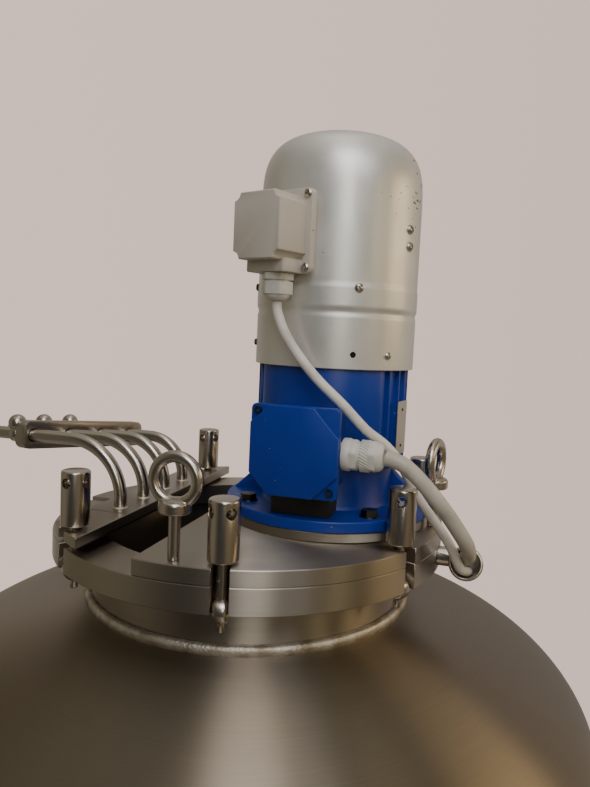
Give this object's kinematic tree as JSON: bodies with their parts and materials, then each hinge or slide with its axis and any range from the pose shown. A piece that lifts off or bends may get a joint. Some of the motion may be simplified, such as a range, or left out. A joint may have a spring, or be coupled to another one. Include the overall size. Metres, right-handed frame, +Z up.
{
  "type": "dissolver tank",
  "caption": "Stainless mixing vessel on legs, with domed ends, a bolted lid with an upright motor, lifting eyes, and bent dosing tubes in a clamp.",
  "frame": {"origin": "on the floor, on the vessel's upright axis", "axes": "+Z up along the vessel's axis; +X from the dosing bar towards the motor; the terminal box looks along -Y"},
  "size_m": [0.9192, 0.9192, 1.8313],
  "materials": {
    "satin_steel": "satin",
    "machined_steel": "satin, machined",
    "polished_steel": "polished",
    "motor_blue": "semi-gloss enamel",
    "cowl_grey": "semi-gloss enamel",
    "box_grey": "satin enamel",
    "gland_white": "matte",
    "cable_grey": "matte",
    "black_rubber": "matte",
    "plate_metal": "brushed"
  },
  "bodies": {
    "root": {"top_head": "satin_steel", "shell": "satin_steel", "bottom_head": "satin_steel", "outlet_nozzle": "satin_steel", "neck": "satin_steel", "leg_1": "satin_steel", "leg_2": "satin_steel", "leg_3": "satin_steel", "leg_4": "satin_steel", "tube_clamp": "satin_steel", "lower_flange": "machined_steel", "lid": "machined_steel", "dosing_bar": "machined_steel", "motor_pad": "machined_steel", "clamp_bolt_1": "polished_steel", "clamp_bolt_2": "polished_steel", "clamp_bolt_3": "polished_steel", "clamp_bolt_4": "polished_steel", "clamp_bolt_5": "polished_steel", "clamp_bolt_6": "polished_steel", "barrel_nut_1": "polished_steel", "barrel_nut_2": "polished_steel", "barrel_nut_3": "polished_steel", "barrel_nut_4": "polished_steel", "barrel_nut_5": "polished_steel", "barrel_nut_6": "polished_steel", "lifting_eye_1": "polished_steel", "lifting_eye_2": "polished_steel", "lifting_eye_3": "polished_steel", "dosing_tube_1": "polished_steel", "dosing_tube_2": "polished_steel", "dosing_tube_3": "polished_steel", "dosing_tube_4": "polished_steel", "cable_sleeve": "polished_steel", "motor_body": "motor_blue", "terminal_box": "motor_blue", "fan_cowl": "cowl_grey", "control_box": "box_grey", "fan_gland": "gland_white", "motor_gland": "gland_white", "fan_cable": "cable_grey", "motor_cable": "cable_grey", "bar_seal": "black_rubber", "number_plate": "plate_metal"}
  },
  "joints": []
}
